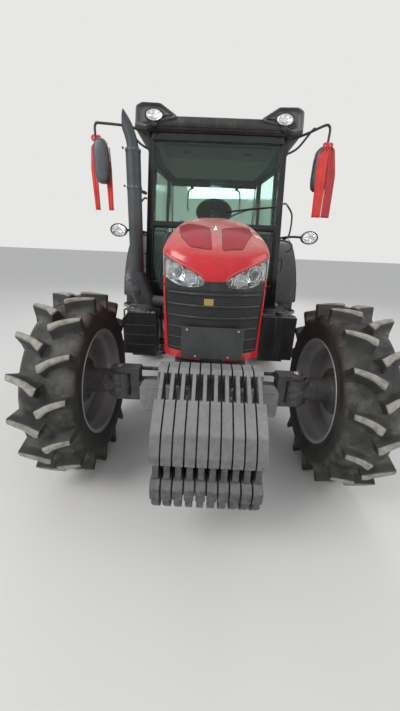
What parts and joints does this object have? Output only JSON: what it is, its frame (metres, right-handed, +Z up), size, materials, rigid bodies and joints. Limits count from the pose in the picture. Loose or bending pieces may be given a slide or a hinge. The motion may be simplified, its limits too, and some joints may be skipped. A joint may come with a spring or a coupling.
{
  "type": "farm tractor",
  "caption": "Four wheel drive farm tractor with glazed cab, tilting hood, opening doors, steered high lug wheels, hung front weights, rear linkage, drawbar and power shaft.",
  "frame": {"origin": "on the ground under the middle of the machine's outline", "axes": "+Y to the rear along the machine, the nose points to -Y; +X to the machine's left-hand side; +Z up"},
  "size_m": [2.1675, 4.298, 2.7444],
  "materials": {
    "red_paint": "gloss red paint, dusty",
    "black_shell": "black moulded plastic",
    "cab_paint": "gloss black paint",
    "roof_shell": "charcoal roof shell",
    "fender_paint": "red paint",
    "cab_floor_mat": "dark grey floor",
    "tinted_glass": "green tinted glass",
    "lamp_glass": "clear lamp lens",
    "plate_grey": "blank grey plate",
    "chassis_grey": "grey painted casting",
    "weight_grey": "grey painted cast weights",
    "radiator_core": "dusty core",
    "steel": "bright worn steel",
    "black_steel": "black painted steel",
    "rim_silver": "silver painted rim",
    "tyre_rubber": "dusty black tyre",
    "seat_cloth": "dark seat cloth",
    "ribbon_cloth": "red satin ribbon"
  },
  "bodies": {
    "chassis": {"front_support": "chassis_grey", "engine_block": "chassis_grey", "gearbox": "chassis_grey", "final_drive": "chassis_grey", "front_axle": "chassis_grey", "front_drive_shaft": "steel", "radiator": "radiator_core", "weight_bracket": "chassis_grey", "front_weights": "weight_grey", "cab_frame": "cab_paint", "cab_floor": "cab_floor_mat", "front_wall": "cab_paint", "rear_wall": "cab_paint", "cab_roof": "roof_shell", "roof_lamps": "roof_shell", "windscreen": "tinted_glass", "cab_panes": "tinted_glass", "fender_left": "fender_paint", "fender_right": "fender_paint", "seat_base": "cab_floor_mat", "seat_cushion": "seat_cloth", "seat_back": "seat_cloth", "dashboard": "black_shell", "steering_wheel": "black_shell", "exhaust": "black_steel", "fuel_tank_left": "black_shell", "step_box_right": "black_shell", "mirror_left": "black_shell", "mirror_right": "black_shell", "ribbons_left": "ribbon_cloth", "ribbons_right": "ribbon_cloth", "stalk_lamp_left": "lamp_glass", "stalk_lamp_right": "lamp_glass", "drawbar": "black_steel"},
    "hood": {"hood": "red_paint", "nose_trim": "red_paint", "grille": "black_shell", "headlamps": "lamp_glass", "number_plate": "plate_grey"},
    "door_left": {"door_left": "cab_paint", "door_glass_left": "tinted_glass"},
    "door_right": {"door_right": "cab_paint", "door_glass_right": "tinted_glass"},
    "knuckle_left": {"knuckle_left": "chassis_grey"},
    "knuckle_right": {"knuckle_right": "chassis_grey"},
    "steering_rod": {"steering_rod": "steel"},
    "front_wheel_left": {"front_rim_left": "rim_silver", "front_tyre_left": "tyre_rubber"},
    "front_wheel_right": {"front_rim_right": "rim_silver", "front_tyre_right": "tyre_rubber"},
    "rear_wheel_left": {"rear_rim_left": "rim_silver", "rear_tyre_left": "tyre_rubber"},
    "rear_wheel_right": {"rear_rim_right": "rim_silver", "rear_tyre_right": "tyre_rubber"},
    "lower_links": {"lower_links": "black_steel"},
    "lift_arms": {"lift_arms": "black_steel"},
    "lift_rods": {"lift_rods": "steel"},
    "top_link": {"top_link": "steel"},
    "power_shaft": {"power_shaft": "steel"}
  },
  "joints": [
    {"name": "hood_tilt", "type": "hinge", "parent": "chassis", "child": "hood", "pos_m": [0, -0.401, 1.8], "axis": [-1, 0, 0], "range_deg": [0, 50]},
    {"name": "door_left_swing", "type": "hinge", "parent": "chassis", "child": "door_left", "pos_m": [0.7831, 0.648, 1.8], "axis": [-0.0499, 0, 0.9988], "range_deg": [0, 75]},
    {"name": "door_right_swing", "type": "hinge", "parent": "chassis", "child": "door_right", "pos_m": [-0.7831, 0.648, 1.8], "axis": [-0.0499, 0, -0.9988], "range_deg": [0, 75]},
    {"name": "steer_left", "type": "hinge", "parent": "chassis", "child": "knuckle_left", "pos_m": [0.655, -1.281, 0.64], "axis": [0, 0, 1], "range_deg": [-35, 35]},
    {"name": "steer_right", "type": "hinge", "parent": "chassis", "child": "knuckle_right", "pos_m": [-0.655, -1.281, 0.64], "axis": [0, 0, 1], "range_deg": [-35, 35]},
    {"name": "steering_rod_slide", "type": "slide", "parent": "chassis", "child": "steering_rod", "axis": [-1, 0, 0], "range_m": [-0.1065, 0.1065]},
    {"name": "front_wheel_left_spin", "type": "hinge", "parent": "knuckle_left", "child": "front_wheel_left", "pos_m": [0.92, -1.281, 0.64], "axis": [1, 0, 0], "continuous": true},
    {"name": "front_wheel_right_spin", "type": "hinge", "parent": "knuckle_right", "child": "front_wheel_right", "pos_m": [-0.92, -1.281, 0.64], "axis": [1, 0, 0], "continuous": true},
    {"name": "rear_wheel_left_spin", "type": "hinge", "parent": "chassis", "child": "rear_wheel_left", "pos_m": [0.85, 1.169, 0.87], "axis": [1, 0, 0], "continuous": true},
    {"name": "rear_wheel_right_spin", "type": "hinge", "parent": "chassis", "child": "rear_wheel_right", "pos_m": [-0.85, 1.169, 0.87], "axis": [1, 0, 0], "continuous": true},
    {"name": "lower_links_lift", "type": "hinge", "parent": "chassis", "child": "lower_links", "pos_m": [0, 1.329, 0.47], "axis": [1, 0, 0], "range_deg": [-15, 35]},
    {"name": "lift_arms_turn", "type": "hinge", "parent": "chassis", "child": "lift_arms", "pos_m": [0, 1.279, 1.085], "axis": [1, 0, 0], "range_deg": [-15, 35]},
    {"name": "lift_rods_turn", "type": "hinge", "parent": "lift_arms", "child": "lift_rods", "pos_m": [0, 1.65323, 1.01901], "axis": [1, 0, 0], "range_deg": [-35, 15]},
    {"name": "top_link_swing", "type": "hinge", "parent": "chassis", "child": "top_link", "pos_m": [0, 1.39, 0.905], "axis": [1, 0, 0], "range_deg": [-35, 60]},
    {"name": "power_shaft_spin", "type": "hinge", "parent": "chassis", "child": "power_shaft", "pos_m": [0, 1.419, 0.64], "axis": [0, 1, 0], "continuous": true}
  ],
  "couplings": [
    {"joint": "steer_right", "follows": "steer_left", "ratio": 1},
    {"joint": "steering_rod_slide", "follows": "steer_left", "m_per_rad": 0.1737},
    {"joint": "lift_arms_turn", "follows": "lower_links_lift", "ratio": 1},
    {"joint": "lift_rods_turn", "follows": "lower_links_lift", "ratio": -1}
  ]
}
